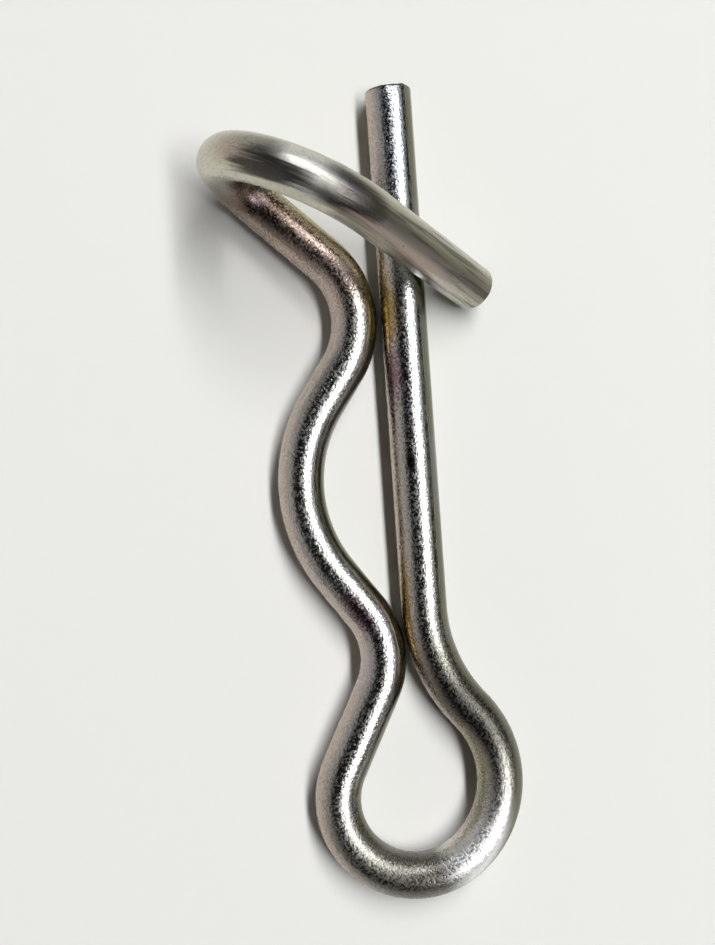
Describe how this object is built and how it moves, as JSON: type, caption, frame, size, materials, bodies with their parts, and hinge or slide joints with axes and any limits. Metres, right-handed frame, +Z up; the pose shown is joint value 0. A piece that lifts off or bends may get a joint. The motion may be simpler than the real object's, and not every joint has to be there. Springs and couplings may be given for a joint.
{
  "type": "hitch R clip pin",
  "caption": "Spring wire R clip with a straight leg, a round eye, a wavy side that grips a shaft and a lock hook bent over the leg.",
  "frame": {"origin": "where the axis of the held shaft crosses the axis of the straight leg, in the middle plane of the flat bends", "axes": "+Y along the straight leg towards its cut tip, +Z up, the way that the hook rises off the flat bends, +X away from the wavy side"},
  "size_m": [0.0244, 0.0706, 0.0168],
  "materials": {
    "plated_wire": "zinc plated spring steel wire with a pale yellowish passivate, drawn grain and fine dark specks"
  },
  "bodies": {
    "root": {"clip": "plated_wire"}
  },
  "joints": []
}
